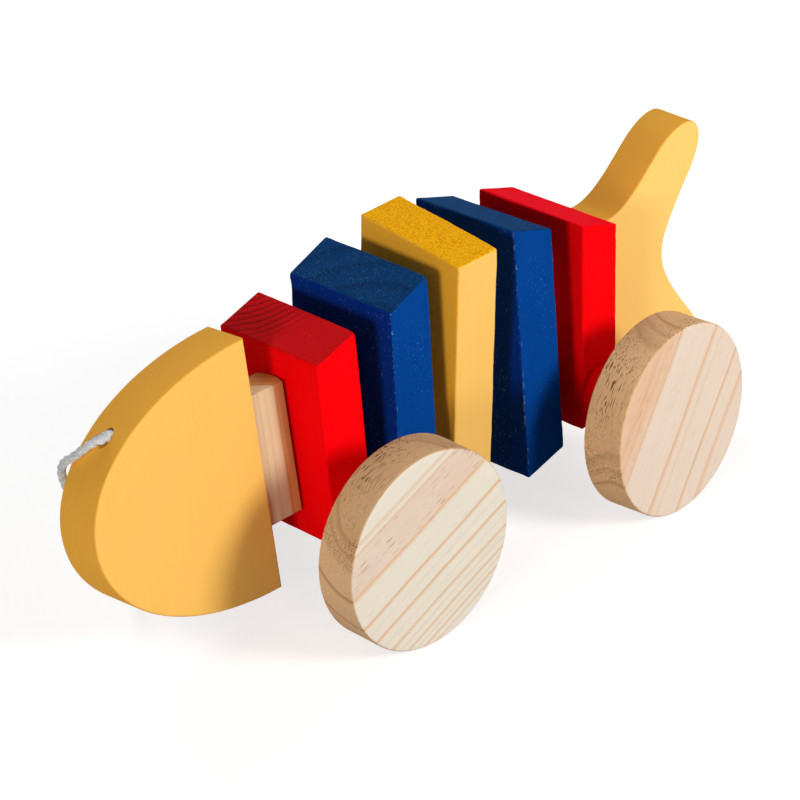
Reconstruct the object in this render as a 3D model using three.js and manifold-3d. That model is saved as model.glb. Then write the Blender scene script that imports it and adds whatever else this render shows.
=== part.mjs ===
// Pull-along wooden fish: seven links on a tight cord, two axles with four wheels, and a pull cord.
// Millimetres, +Z up, head towards -X, standing on Z = 0.
import * as THREE from 'three';
import { mergeVertices } from 'three/addons/utils/BufferGeometryUtils.js';
import Module from 'manifold-3d';

// Fits
const SEAT_GAP = 0.3;
const GLUE_GAP = 0.3;
const RUNNING_CLEARANCE = 0.3;
const AXLE_SLACK = 1.2;
const CUT_OVERRUN = 1;

// Wheels and axles
const WHEEL_DIAMETER = 70;
const WHEEL_THICKNESS = 16;
const WHEEL_EASE = 1.2;
const WHEEL_OUTER_FACE = 60.4;
const AXLE_DIAMETER = 8;
const AXLE_GLUE_DEPTH = 11;
const AXLE_EASE = 0.6;
const FRONT_AXLE_DROP = 24.6;
const HUB_DIAMETER = 23;
const HUB_END_PLAY = 0.9;
const HUB_EASE = 0.8;

// Painted blocks, boards and raw spacers
const BLOCK_WIDTH = 48;
const BLOCK_THICKNESS = 18;
const BOARD_THICKNESS = 18;
const EDGE_EASE = 0.6;
const CORNER_EASE = 1.6;
const SPACER_WIDTH = 12.5;
const SPACER_HEIGHT = 47.6;
const SPACER_EASE = 0.4;
const CROWN_RADIUS = 14;
const NECK_LENGTH = 15.1;
const NECK_SHIFT = -3.3;

// Each block's height at its front and rear, its spacer's length, and its rest turn about Z, Y and X.
// A loose axle lies a little off the mid thickness and askew to its block.
const LINKS = {
  front_red: { front: 67.4, rear: 78.5, spacer: 12.6, turn: -0.5, nod: -3, lean: -1, axle: 0.8, skew: 0 },
  front_blue: { front: 80.5, rear: 94.8, spacer: 9.6, turn: 1.4, nod: -2.1, lean: 0.2 },
  middle_yellow: { front: 101.3, rear: 102.9, spacer: 11.8, turn: -1.3, nod: -2.2, lean: 5.9 },
  rear_blue: { front: 93.4, rear: 82.6, spacer: 10.7, turn: -0.4, nod: -1.2, lean: -2.3 },
  rear_red: { front: 79, rear: 68, spacer: 11.1, turn: 2.9, nod: -0.3, lean: 0.9, axle: -0.7, skew: 2.2 },
};

// Head board: shift off the neck's middle, rear edge above and below the spine, nose tip, curves' fullness
const HEAD_REST = { turn: 0.4, nod: -2.9, lean: -4.8 };
const HEAD_OFFSET = 1.6;
const HEAD_LENGTH = 71;
const HEAD_TOP = 45;
const HEAD_BOTTOM = -46;
const NOSE_HEIGHT = 0;
const BROW_FULLNESS = 0.564;
const CHIN_FULLNESS = 0.566;
const CORD_HOLE_SHARE = 0.542;
const CORD_HOLE_DIAMETER = 4.8;
const CORD_HOLE_DEPTH = 12;

// Tail board: root height, rise above the spine, and the upper lobe's curves as two handles and an end
const TAIL_REST = { turn: -3.9, nod: -1.1, lean: -1.4 };
const TAIL_ROOT_HALF = 22.3;
const TAIL_RISE = 4;
const TAIL_NOTCH = 27;
const TAIL_LOBE = [
  [10, 22.8, 17, 31.5, 26.5, 40.4],
  [29.5, 43.4, 36, 44.6, 41.7, 47.4],
  [43.6, 48, 46.6, 44, 46.5, 40.6],
  [46.4, 35.2, 41.6, 28.2, 37.1, 21.9],
  [33.5, 16.6, TAIL_NOTCH, 8, TAIL_NOTCH, 0],
];

// Cord through all links, its bore and its two knots
const BODY_CORD_DIAMETER = 3;
const BODY_CORD_BORE = 6;
const BORE_EASE = 1.5;
const KNOT_DIAMETER = 7;
const KNOT_LENGTH = 6.4;
const POCKET_DIAMETER = 8.6;
const POCKET_DEPTH = 8;

// Pull cord: over the forehead's far edge, measured from its hole, and down to the floor
const PULL_CORD_DIAMETER = 3;
const CORD_DRAPE = [
  [4.4, 0, 0],
  [0, -0.2, 0.4],
  [-4.1, 1.7, -0.4],
  [-8.8, 7.6, -5.2],
  [-9.5, 10, -6.6],
  [-9.5, 12.3, -9],
  [-9, 14.1, -12.2],
  [-8, 15, -16.2],
];
const CORD_FALL = [
  [-86.2, 14.8, 60.8],
  [-81.8, 15.2, 52.6],
  [-77, 16.2, 44.6],
  [-71.5, 18.4, 35.6],
  [-65.5, 22, 26.2],
  [-59, 26.8, 16.7],
  [-52, 32.8, 8.6],
  [-45, 39.6, 3.6],
  [-39.5, 47, 1.8],
  [-35.5, 55, 1.7],
  [-31, 62, 1.7],
  [-24.5, 68.5, 1.7],
  [-16, 72.4, 1.7],
  [-6, 73.8, 1.8],
  [4, 74, 2.2],
];

// Coil of the cord's spare length, with its tie and the knot at the end
const COIL_CENTRE = [16, 94];
const COIL_OUTER_RADIUS = 20.1;
const COIL_PITCH = 3.6;
const COIL_LAYER = 3.5;
const TURNS_IN = 2.25;
const TURNS_OUT = 2;
const TURNS_CLIMB = 0.5;
const STEPS_PER_TURN = 24;
const COIL_SIDES = 6;
const COIL_START_ANGLE = -90;
const COIL_END_RUN = 12;
const TIE_ANGLE = 180;
const TIE_THICKNESS = 0.6;
const TIE_WIDTH = 3;
const TIE_CLEARANCE = 0.4;
const END_KNOT_DIAMETER = 7.2;
const END_KNOT_LENGTH = 7;

// Mesh fineness
const WHEEL_FACETS = 48;
const ROD_FACETS = 24;
const BORE_FACETS = 16;
const CORD_SIDES = 8;
const CORD_STEP = 2 * PULL_CORD_DIAMETER;
const CURVE_SEGMENTS = 10;
const CORNER_SEGMENTS = 3;
const BEVEL_SEGMENTS = 2;
const KNOT_FACETS = [12, 8];

// Colours
const RED = 0xc4141c;
const BLUE = 0x0f4c96;
const AMBER = 0xe8a11c;
const YELLOW = 0xf6c35c;
const PINE = 0xe9cfa4;
const COTTON = 0xe8e4da;
const ROUGHNESS = 0.7;

const wasm = await Module();
wasm.setup();

const WHEEL_RADIUS = WHEEL_DIAMETER / 2;
const WHEEL_INNER_FACE = WHEEL_OUTER_FACE - WHEEL_THICKNESS;
const BLOCK_FACE = BLOCK_THICKNESS / 2;
const COLOURS = {
  front_red: RED,
  front_blue: BLUE,
  middle_yellow: AMBER,
  rear_blue: BLUE,
  rear_red: RED,
};
const radians = THREE.MathUtils.degToRad;
const point = (x, y, z) => new THREE.Vector3(x, y, z);

function bodyOf(geometry) {
  const bare = geometry.clone();
  bare.deleteAttribute('normal');
  bare.deleteAttribute('uv');
  const merged = mergeVertices(bare);
  const corners = Array.from(merged.index.array);
  const triangles = [];
  for (let i = 0; i < corners.length; i += 3) {
    const [a, b, c] = corners.slice(i, i + 3);
    if (a !== b && b !== c && c !== a) triangles.push(a, b, c);
  }
  return new wasm.Manifold(new wasm.Mesh({
    numProp: 3,
    vertProperties: new Float32Array(merged.attributes.position.array),
    triVerts: new Uint32Array(triangles),
  }));
}

function geometryOf(body) {
  const mesh = body.getMesh();
  const geometry = new THREE.BufferGeometry();
  geometry.setAttribute('position', new THREE.BufferAttribute(mesh.vertProperties, 3));
  geometry.setIndex(new THREE.BufferAttribute(mesh.triVerts, 1));
  geometry.computeVertexNormals();
  return geometry;
}

function cut(geometry, ...tools) {
  const left = tools.reduce((body, tool) => body.subtract(bodyOf(tool)), bodyOf(geometry));
  return geometryOf(left);
}

function piece(parent, name, geometry, color) {
  const material = new THREE.MeshStandardMaterial({ color, roughness: ROUGHNESS });
  const mesh = new THREE.Mesh(geometry, material);
  mesh.name = name;
  parent.add(mesh);
  return mesh;
}

function link(name, rest) {
  const group = new THREE.Group();
  group.name = `${name}_link`;
  group.rotation.set(radians(rest.lean), radians(rest.nod), radians(rest.turn), 'ZYX');
  fish.add(group);
  return group;
}

function axisOf(group, x, y, z) {
  return point(x, y, z).applyEuler(group.rotation);
}

function placeOf(group, x, y, z) {
  return axisOf(group, x, y, z).add(group.position);
}

// A rod, ring or cutter turned about Y from (radius, place) points
function turnedPart(profile, facets) {
  return new THREE.LatheGeometry(profile.map(([r, y]) => new THREE.Vector2(r, y)), facets);
}

function alongX(geometry) {
  return geometry.rotateZ(-Math.PI / 2);
}

// A polygon in the side view whose corners are eased
function easedOutline(corners) {
  const shape = new THREE.Shape();
  const spots = corners.map(([x, z]) => new THREE.Vector2(x, z));
  spots.forEach((corner, i) => {
    const before = spots.at(i - 1);
    const after = spots[(i + 1) % spots.length];
    const start = before.clone().sub(corner).setLength(CORNER_EASE).add(corner);
    const end = after.clone().sub(corner).setLength(CORNER_EASE).add(corner);
    if (i === 0) shape.moveTo(start.x, start.y);
    else shape.lineTo(start.x, start.y);
    shape.quadraticCurveTo(corner.x, corner.y, end.x, end.y);
  });
  shape.closePath();
  return shape;
}

// A side-view outline made into a board across Y with eased rims
function board(outline, width, curveSegments) {
  const geometry = new THREE.ExtrudeGeometry(outline, {
    depth: width - 2 * EDGE_EASE,
    bevelThickness: EDGE_EASE,
    bevelSize: EDGE_EASE,
    bevelOffset: -EDGE_EASE,
    bevelSegments: BEVEL_SEGMENTS,
    curveSegments,
  });
  geometry.translate(0, 0, EDGE_EASE - width / 2);
  return geometry.rotateX(Math.PI / 2);
}

// Cutter for the cord's bore along X, flared where it leaves each face
function boreTool(from, to) {
  const radius = BODY_CORD_BORE / 2;
  const flare = radius + BORE_EASE;
  return alongX(turnedPart([
    [0, from - CUT_OVERRUN],
    [flare, from - CUT_OVERRUN],
    [flare, from],
    [radius, from + BORE_EASE],
    [radius, to - BORE_EASE],
    [flare, to],
    [flare, to + CUT_OVERRUN],
    [0, to + CUT_OVERRUN],
  ], BORE_FACETS));
}

function holeTool(radius, from, to, facets) {
  return turnedPart([[0, from], [radius, from], [radius, to], [0, to]], facets);
}

// A tall spacer from x = from to its crowned end at x = to, bored for the cord, beside its middle if need be
function spacerPart(from, to, boreAside = 0) {
  const side = SPACER_WIDTH / 2;
  const sweep = Math.asin(side / CROWN_RADIUS);
  const outline = new THREE.Shape();
  outline.moveTo(from, -side);
  outline.lineTo(to - CROWN_RADIUS * (1 - Math.cos(sweep)), -side);
  outline.absarc(to - CROWN_RADIUS, 0, CROWN_RADIUS, -sweep, sweep, false);
  outline.lineTo(from, side);
  outline.closePath();
  const solid = new THREE.ExtrudeGeometry(outline, {
    depth: SPACER_HEIGHT - 2 * SPACER_EASE,
    bevelThickness: SPACER_EASE,
    bevelSize: SPACER_EASE,
    bevelOffset: -SPACER_EASE,
    bevelSegments: 1,
    curveSegments: CURVE_SEGMENTS,
  });
  solid.translate(0, 0, SPACER_EASE - SPACER_HEIGHT / 2);
  const bore = alongX(holeTool(BODY_CORD_BORE / 2, from - CUT_OVERRUN, to + CUT_OVERRUN, BORE_FACETS));
  return cut(solid, bore.translate(0, boreAside, 0));
}

function blockPart(size, axleDrop) {
  const outline = easedOutline([
    [-BLOCK_FACE, -size.front / 2],
    [BLOCK_FACE, -size.rear / 2],
    [BLOCK_FACE, size.rear / 2],
    [-BLOCK_FACE, size.front / 2],
  ]);
  const tools = [boreTool(-BLOCK_FACE, BLOCK_FACE)];
  if (axleDrop) {
    const reach = BLOCK_WIDTH / 2 + CUT_OVERRUN;
    const bore = holeTool(AXLE_DIAMETER / 2 + AXLE_SLACK, -reach, reach, ROD_FACETS);
    tools.push(bore.translate(size.axle, 0, -axleDrop));
  }
  return cut(board(outline, BLOCK_WIDTH, CORNER_SEGMENTS), ...tools);
}

function wheelPart() {
  const bore = AXLE_DIAMETER / 2 + GLUE_GAP;
  const rim = WHEEL_RADIUS - WHEEL_EASE;
  return turnedPart([
    [0, WHEEL_INNER_FACE + AXLE_GLUE_DEPTH],
    [bore, WHEEL_INNER_FACE + AXLE_GLUE_DEPTH],
    [bore, WHEEL_INNER_FACE],
    [rim, WHEEL_INNER_FACE],
    [WHEEL_RADIUS, WHEEL_INNER_FACE + WHEEL_EASE],
    [WHEEL_RADIUS, WHEEL_OUTER_FACE - WHEEL_EASE],
    [rim, WHEEL_OUTER_FACE],
    [0, WHEEL_OUTER_FACE],
  ], WHEEL_FACETS);
}

function axlePart() {
  const radius = AXLE_DIAMETER / 2;
  const end = WHEEL_INNER_FACE + AXLE_GLUE_DEPTH - GLUE_GAP;
  return turnedPart([
    [0, -end],
    [radius - AXLE_EASE, -end],
    [radius, AXLE_EASE - end],
    [radius, end - AXLE_EASE],
    [radius - AXLE_EASE, end],
    [0, end],
  ], ROD_FACETS);
}

function hubPart() {
  const inner = AXLE_DIAMETER / 2 + RUNNING_CLEARANCE;
  const outer = HUB_DIAMETER / 2;
  const from = BLOCK_WIDTH / 2 + HUB_END_PLAY;
  const to = WHEEL_INNER_FACE - HUB_END_PLAY;
  return turnedPart([
    [inner, from],
    [outer - HUB_EASE, from],
    [outer, from + HUB_EASE],
    [outer, to - HUB_EASE],
    [outer - HUB_EASE, to],
    [inner, to],
    [inner, from],
  ], ROD_FACETS);
}

function knotPart(diameter, length) {
  return new THREE.SphereGeometry(diameter / 2, ...KNOT_FACETS).scale(1, length / diameter, 1);
}

// A round cord along a curve
function cordPart(curve, diameter) {
  const spots = Array.from({ length: CORD_SIDES }, (_, i) => {
    const angle = (2 * Math.PI * i) / CORD_SIDES;
    return new THREE.Vector2(Math.cos(angle), Math.sin(angle)).multiplyScalar(diameter / 2);
  });
  return new THREE.ExtrudeGeometry(new THREE.Shape(spots), {
    extrudePath: curve,
    steps: Math.ceil(curve.getLength() / CORD_STEP),
    bevelEnabled: false,
  });
}

const fish = new THREE.Group();
fish.name = 'articulated_wooden_fish';

// Puts a piece's front face against the crowned end that its carrier shows it
function seat(next, carrier, crownEnd, frontFace) {
  const along = axisOf(next, 1, 0, 0);
  const slant = Math.abs(axisOf(carrier, 0, 0, 1).dot(along)) * SPACER_HEIGHT / 2;
  const reach = CROWN_RADIUS + SEAT_GAP + slant - frontFace;
  next.position.copy(placeOf(carrier, crownEnd - CROWN_RADIUS, 0, 0)).addScaledVector(along, reach);
}

// Blocks, from the front axle backwards
const crownEndOf = (name) => BLOCK_FACE + GLUE_GAP + LINKS[name].spacer;
const links = {};
const drops = {};
let carrierName = null;
for (const [name, size] of Object.entries(LINKS)) {
  const group = link(name, size);
  links[name] = group;
  if (carrierName) {
    seat(group, links[carrierName], crownEndOf(carrierName), -BLOCK_FACE);
  } else {
    group.position.copy(axisOf(group, -size.axle, 0, FRONT_AXLE_DROP).add(point(0, 0, WHEEL_RADIUS)));
  }
  if ('axle' in size) {
    const rise = placeOf(group, size.axle, 0, 0).z - WHEEL_RADIUS;
    drops[name] = rise / axisOf(group, 0, 0, 1).z;
  }
  piece(group, `${name}_block`, blockPart(size, drops[name]), COLOURS[name]);
  piece(group, `${name}_spacer`, spacerPart(BLOCK_FACE + GLUE_GAP, crownEndOf(name)), PINE);
  carrierName = name;
}

// Axles with their wheels, and on them the hub spacers that keep the wheels off the blocks
for (const end of ['front', 'rear']) {
  const { turn, skew, axle } = LINKS[`${end}_red`];
  const wheelset = link(`${end}_wheels`, { turn: turn + skew, nod: 0, lean: 0 });
  wheelset.position.copy(placeOf(links[`${end}_red`], axle, 0, -drops[`${end}_red`]));
  piece(wheelset, `${end}_axle`, axlePart(), PINE);
  for (const [side, flip] of [['left', Math.PI], ['right', 0]]) {
    piece(wheelset, `${end}_${side}_wheel`, wheelPart().rotateZ(flip), PINE);
    piece(wheelset, `${end}_${side}_hub`, hubPart().rotateZ(flip), RED);
  }
}

// Head: the neck's crowned end stands against the front red block, and the group turns about the crown
const head = link('head', HEAD_REST);
const neckFront = CROWN_RADIUS - NECK_LENGTH;
const headRear = neckFront - GLUE_GAP;
const redAlong = axisOf(links.front_red, 1, 0, 0);
const neckSlant = Math.abs(axisOf(head, 0, 0, 1).dot(redAlong)) * SPACER_HEIGHT / 2;
const neckReach = BLOCK_FACE + SEAT_GAP + neckSlant + CROWN_RADIUS;
head.position.copy(placeOf(links.front_red, 0, NECK_SHIFT, 0)).addScaledVector(redAlong, -neckReach);

const nose = new THREE.Vector2(headRear - HEAD_LENGTH, NOSE_HEIGHT);
const brow = new THREE.CubicBezierCurve(
  new THREE.Vector2(headRear, HEAD_TOP),
  new THREE.Vector2(headRear - BROW_FULLNESS * HEAD_LENGTH, HEAD_TOP),
  new THREE.Vector2(nose.x, NOSE_HEIGHT + BROW_FULLNESS * (HEAD_TOP - NOSE_HEIGHT)),
  nose,
);
const mouth = brow.getPoint(CORD_HOLE_SHARE);

function headPart() {
  const chin = CHIN_FULLNESS * (HEAD_BOTTOM - NOSE_HEIGHT);
  const outline = new THREE.Shape();
  outline.moveTo(headRear, HEAD_TOP);
  outline.bezierCurveTo(brow.v1.x, brow.v1.y, brow.v2.x, brow.v2.y, nose.x, nose.y);
  outline.bezierCurveTo(
    nose.x,
    NOSE_HEIGHT + chin,
    headRear - CHIN_FULLNESS * HEAD_LENGTH,
    HEAD_BOTTOM,
    headRear,
    HEAD_BOTTOM,
  );
  outline.closePath();
  const pocket = holeTool(POCKET_DIAMETER / 2, headRear - POCKET_DEPTH, headRear + CUT_OVERRUN, BORE_FACETS);
  const hole = holeTool(CORD_HOLE_DIAMETER / 2, nose.x, mouth.x + CORD_HOLE_DEPTH, BORE_FACETS);
  const tools = [alongX(pocket), alongX(hole).translate(0, 0, mouth.y)];
  const part = cut(board(outline, BOARD_THICKNESS, CURVE_SEGMENTS * 2), ...tools);
  return part.translate(0, HEAD_OFFSET, 0);
}
piece(head, 'head_board', headPart(), YELLOW);
piece(head, 'neck_spacer', spacerPart(neckFront, CROWN_RADIUS, HEAD_OFFSET), PINE);

// Tail: a forked board against the last spacer
const tail = link('tail', TAIL_REST);
seat(tail, links.rear_red, crownEndOf('rear_red'), 0);
const tailSeat = TAIL_NOTCH - POCKET_DEPTH;

function tailPart() {
  const outline = new THREE.Shape();
  const at = (x, z) => [x, TAIL_RISE + z];
  outline.moveTo(...at(0, TAIL_ROOT_HALF));
  for (const [ax, az, bx, bz, x, z] of TAIL_LOBE) {
    outline.bezierCurveTo(...at(ax, az), ...at(bx, bz), ...at(x, z));
  }
  // the lower lobe runs the same curves backwards, mirrored
  TAIL_LOBE.map((curve, i) => [curve, TAIL_LOBE[i - 1]?.slice(4) ?? [0, TAIL_ROOT_HALF]])
    .reverse()
    .forEach(([[ax, az, bx, bz], [x, z]]) => {
      outline.bezierCurveTo(...at(bx, -bz), ...at(ax, -az), ...at(x, -z));
    });
  outline.closePath();
  const bore = holeTool(BODY_CORD_BORE / 2, -CUT_OVERRUN, TAIL_NOTCH, BORE_FACETS);
  const pocket = holeTool(POCKET_DIAMETER / 2, tailSeat, TAIL_NOTCH + POCKET_DEPTH, BORE_FACETS);
  return cut(board(outline, BOARD_THICKNESS, CURVE_SEGMENTS), alongX(bore), alongX(pocket));
}
piece(tail, 'tail_board', tailPart(), YELLOW);

// The cord that holds the links together, with a knot behind the neck and one in the tail's fork
const between = (a, b) => a.clone().add(b).multiplyScalar(1 / 2);
const threaded = [placeOf(head, neckFront, HEAD_OFFSET, 0)];
let crown = placeOf(head, CROWN_RADIUS, HEAD_OFFSET, 0);
for (const [name, group] of Object.entries(links)) {
  threaded.push(between(crown, placeOf(group, -BLOCK_FACE, 0, 0)), group.position.clone());
  crown = placeOf(group, crownEndOf(name), 0, 0);
}
threaded.push(between(crown, tail.position), placeOf(tail, tailSeat, 0, 0));
piece(fish, 'body_cord', cordPart(new THREE.CatmullRomCurve3(threaded), BODY_CORD_DIAMETER), COTTON);
const knotReach = KNOT_LENGTH / 2 + SEAT_GAP;
const knot = () => alongX(knotPart(KNOT_DIAMETER, KNOT_LENGTH));
piece(head, 'body_cord_head_knot', knot().translate(neckFront - knotReach, HEAD_OFFSET, 0), COTTON);
piece(tail, 'body_cord_tail_knot', knot().translate(tailSeat + knotReach, 0, 0), COTTON);

// The toy stands on its wheels, with the middle of its own box over the origin
const box = new THREE.Box3().setFromObject(fish, true);
const middle = box.getCenter(point(0, 0, 0));
fish.position.set(-middle.x, -middle.y, -box.min.z);

// Coil: in along the floor, up a layer in the half turn where the spiral reverses, and out again
const coilFloor = TIE_THICKNESS + TIE_CLEARANCE + PULL_CORD_DIAMETER / 2;
const turnsAll = TURNS_IN + TURNS_OUT;
const coilRadius = (turn) => COIL_OUTER_RADIUS + COIL_PITCH * (Math.abs(turn - TURNS_IN) - TURNS_IN);

function coilSpot(turn) {
  const angle = radians(COIL_START_ANGLE) + 2 * Math.PI * turn;
  const radius = coilRadius(turn);
  const climb = [TURNS_IN - TURNS_CLIMB / 2, TURNS_IN + TURNS_CLIMB / 2];
  const rise = COIL_LAYER * THREE.MathUtils.smoothstep(turn, ...climb);
  return point(
    COIL_CENTRE[0] + radius * Math.cos(angle),
    COIL_CENTRE[1] + radius * Math.sin(angle),
    coilFloor + rise,
  );
}

const coilSteps = Math.round(turnsAll * STEPS_PER_TURN);
const coilPath = Array.from({ length: coilSteps + 1 }, (_, i) => coilSpot((turnsAll * i) / coilSteps));
const coilIn = coilPath[0].clone().add(point(-PULL_CORD_DIAMETER, 0, 0));
const endDrop = coilFloor + COIL_LAYER - END_KNOT_DIAMETER / 2;
const coilOut = coilPath.at(-1).clone().add(point(0, COIL_END_RUN, -endDrop));
coilPath.unshift(coilIn);
coilPath.push(coilOut);

// A closed tube over the path's points, each ring square to the path
function coilPart(path) {
  const corners = [];
  path.forEach((spot, i) => {
    const along = path[Math.min(i + 1, path.length - 1)].clone().sub(path[Math.max(i - 1, 0)]).normalize();
    const side = along.clone().cross(point(0, 0, 1)).normalize();
    const up = side.clone().cross(along);
    for (let k = 0; k < COIL_SIDES; k += 1) {
      const angle = (2 * Math.PI * k) / COIL_SIDES;
      const corner = spot.clone();
      corner.addScaledVector(side, Math.cos(angle) * PULL_CORD_DIAMETER / 2);
      corner.addScaledVector(up, Math.sin(angle) * PULL_CORD_DIAMETER / 2);
      corners.push(...corner.toArray());
    }
  });
  const faces = [];
  const last = (path.length - 1) * COIL_SIDES;
  for (let k = 0; k < COIL_SIDES; k += 1) {
    const next = (k + 1) % COIL_SIDES;
    for (let ring = 0; ring < last; ring += COIL_SIDES) {
      const beyond = ring + COIL_SIDES;
      faces.push(ring + k, beyond + next, ring + next, ring + k, beyond + k, beyond + next);
    }
    if (k > 0 && next > 0) {
      faces.push(0, k, next, last, last + next, last + k);
    }
  }
  const geometry = new THREE.BufferGeometry();
  geometry.setAttribute('position', new THREE.Float32BufferAttribute(corners, 3));
  geometry.setIndex(faces);
  geometry.computeVertexNormals();
  return geometry;
}

// Least gap between stretches of the coil that are over half a turn apart
function coilGap(path) {
  let least = Infinity;
  for (let i = 0; i < path.length; i += 1) {
    for (let j = i + STEPS_PER_TURN / 2; j < path.length; j += 1) {
      least = Math.min(least, path[i].distanceTo(path[j]) - PULL_CORD_DIAMETER);
    }
  }
  return least;
}

function lengthOf(path) {
  return path.slice(1).reduce((sum, spot, i) => sum + spot.distanceTo(path[i]), 0);
}

piece(fish, 'pull_cord_coil', coilPart(coilPath), COTTON);
console.log(`coil: least gap to itself ${coilGap(coilPath).toFixed(2)} mm`);

// Free stretch from the hole in the forehead to the coil
const drape = CORD_DRAPE.map(([x, y, z]) => placeOf(head, mouth.x + x, HEAD_OFFSET + y, mouth.y + z));
const coilMeet = coilIn.clone().add(point(-SEAT_GAP, 0, 0));
const pullRoute = new THREE.CatmullRomCurve3([...drape, ...CORD_FALL.map((p) => point(...p)), coilMeet]);
piece(fish, 'pull_cord', cordPart(pullRoute, PULL_CORD_DIAMETER), COTTON);
const pullLength = pullRoute.getLength() + lengthOf(coilPath);
console.log(`pull cord: ${pullLength.toFixed(0)} mm, of which ${lengthOf(coilPath).toFixed(0)} mm coiled`);

// The tie goes once round the coil's turns
function tiePart() {
  const turn = (TIE_ANGLE - COIL_START_ANGLE) / 360;
  const span = PULL_CORD_DIAMETER / 2 + TIE_CLEARANCE;
  const inner = coilRadius(turn + 1) - span;
  const outer = coilRadius(turn) + span;
  const ring = easedOutline([
    [inner - TIE_THICKNESS, 0],
    [outer + TIE_THICKNESS, 0],
    [outer + TIE_THICKNESS, coilFloor + COIL_LAYER + span + TIE_THICKNESS],
    [inner - TIE_THICKNESS, coilFloor + COIL_LAYER + span + TIE_THICKNESS],
  ]);
  ring.holes.push(easedOutline([
    [inner, coilFloor - span],
    [outer, coilFloor - span],
    [outer, coilFloor + COIL_LAYER + span],
    [inner, coilFloor + COIL_LAYER + span],
  ]));
  const band = new THREE.ExtrudeGeometry(ring, {
    depth: TIE_WIDTH,
    bevelEnabled: false,
    curveSegments: CORNER_SEGMENTS,
  });
  band.translate(0, 0, -TIE_WIDTH / 2);
  band.rotateX(Math.PI / 2);
  band.rotateZ(radians(TIE_ANGLE));
  return band.translate(...COIL_CENTRE, 0);
}
piece(fish, 'pull_cord_tie', tiePart(), COTTON);

// The knot on the cord's far end lies beside the coil, in line with the last run
const lastRun = coilOut.clone().sub(coilPath.at(-2)).normalize();
const endKnot = knotPart(END_KNOT_DIAMETER, END_KNOT_LENGTH);
const knotSpot = coilOut.clone().add(point(0, SEAT_GAP + END_KNOT_LENGTH / 2, 0));
endKnot.applyQuaternion(new THREE.Quaternion().setFromUnitVectors(point(0, 1, 0), lastRun));
piece(fish, 'pull_cord_knot', endKnot.translate(...knotSpot.toArray()), COTTON);

export default fish;
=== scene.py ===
import math

import bmesh
import bpy
import numpy as np
from mathutils import Euler, Matrix, Vector, noise


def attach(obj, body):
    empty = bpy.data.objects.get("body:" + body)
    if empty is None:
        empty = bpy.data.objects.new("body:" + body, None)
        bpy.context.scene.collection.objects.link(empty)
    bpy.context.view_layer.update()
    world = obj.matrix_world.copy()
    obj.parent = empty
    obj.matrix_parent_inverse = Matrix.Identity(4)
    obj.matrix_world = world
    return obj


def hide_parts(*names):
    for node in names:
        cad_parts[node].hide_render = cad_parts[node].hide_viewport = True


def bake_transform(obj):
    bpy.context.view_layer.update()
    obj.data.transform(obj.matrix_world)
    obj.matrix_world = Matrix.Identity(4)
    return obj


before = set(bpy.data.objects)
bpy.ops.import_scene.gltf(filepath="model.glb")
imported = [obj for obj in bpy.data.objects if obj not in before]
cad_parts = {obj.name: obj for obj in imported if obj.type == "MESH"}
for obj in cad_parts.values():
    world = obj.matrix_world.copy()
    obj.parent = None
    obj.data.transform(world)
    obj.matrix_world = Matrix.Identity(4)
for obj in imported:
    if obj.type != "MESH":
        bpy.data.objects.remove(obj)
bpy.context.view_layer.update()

MM = 0.001
NO_LENGTH = 2e-6  # metres, under which an edge or a face's height counts as none
FACING = 0.72  # least cosine at which a face counts as looking along an axis
ROUND_SIDES = {"wheel": 160, "hub": 64, "bore": 48}
SMOOTH_ANGLE = 32
CORD_SMOOTH_ANGLE = 60

# Camera, as it was fitted to the photo
CAMERA_AZIMUTH = -43.079
CAMERA_ELEVATION = 26.929
CAMERA_ROLL = -1.866
CAMERA_DISTANCE = 1253.78
CAMERA_TARGET = (22.69, 22.63, 35)
CAMERA_LENS = 161.13
CAMERA_SENSOR = 36

# Where each link stands, and its lean, nod and turn in degrees
LINK_FRAMES = {
    "head": ((-69.888, -4.431, 58.358), (-4.8, -2.9, 0.4)),
    "front_red": ((-46.579, -1.335, 59.521), (-1, -3, -0.5)),
    "front_blue": ((-15.053, -0.826, 60.801), (0.2, -2.1, 1.4)),
    "middle_yellow": ((13.165, -1.236, 61.877), (5.9, -2.2, -1.3)),
    "rear_blue": ((44.004, -1.563, 62.647), (-2.3, -1.2, -0.4)),
    "rear_red": ((73.589, -0.41, 62.896), (0.9, -0.3, 2.9)),
    "tail": ((94.622, -1.084, 63.211), (-1.4, -1.1, -3.9)),
    "front_wheels": ((-44.496, -1.783, 35), (0, 0, -0.5)),
    "rear_wheels": ((73.014, 0, 35), (0, 0, 5.1)),
}
CHAIN = ["head", "front_red", "front_blue", "middle_yellow", "rear_blue", "rear_red", "tail"]

# Blocks: height at the front and rear, and the length of the spacer behind each
BLOCKS = {
    "front_red": (67.4, 78.5, 12.6),
    "front_blue": (80.5, 94.8, 9.6),
    "middle_yellow": (101.3, 102.9, 11.8),
    "rear_blue": (93.4, 82.6, 10.7),
    "rear_red": (79, 68, 11.1),
}
BLOCK_WIDTH = 48
BLOCK_THICKNESS = 18
BLOCK_EASE = 0.95
BLOCK_FINE_STEPS = [0, 0.12, 0.28, 0.5, 0.75, 1.05, 1.4, 1.9, 2.6, 3.6]
BLOCK_RIM = 5
BLOCK_STEP = 2.5
AXLE_SPOTS = {"front_red": (0.8, -24.6), "rear_red": (-0.7, -27.896)}
AXLE_BORE = 10.4

# How an edge's ease wanders: waves per millimetre, and their share of the ease
BLOCK_WANDER = (0.11, 0.4)
BLOCK_FINE_WANDER = (0.45, 0.25)
BOARD_WANDER = (0.09, 0.3)

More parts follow.
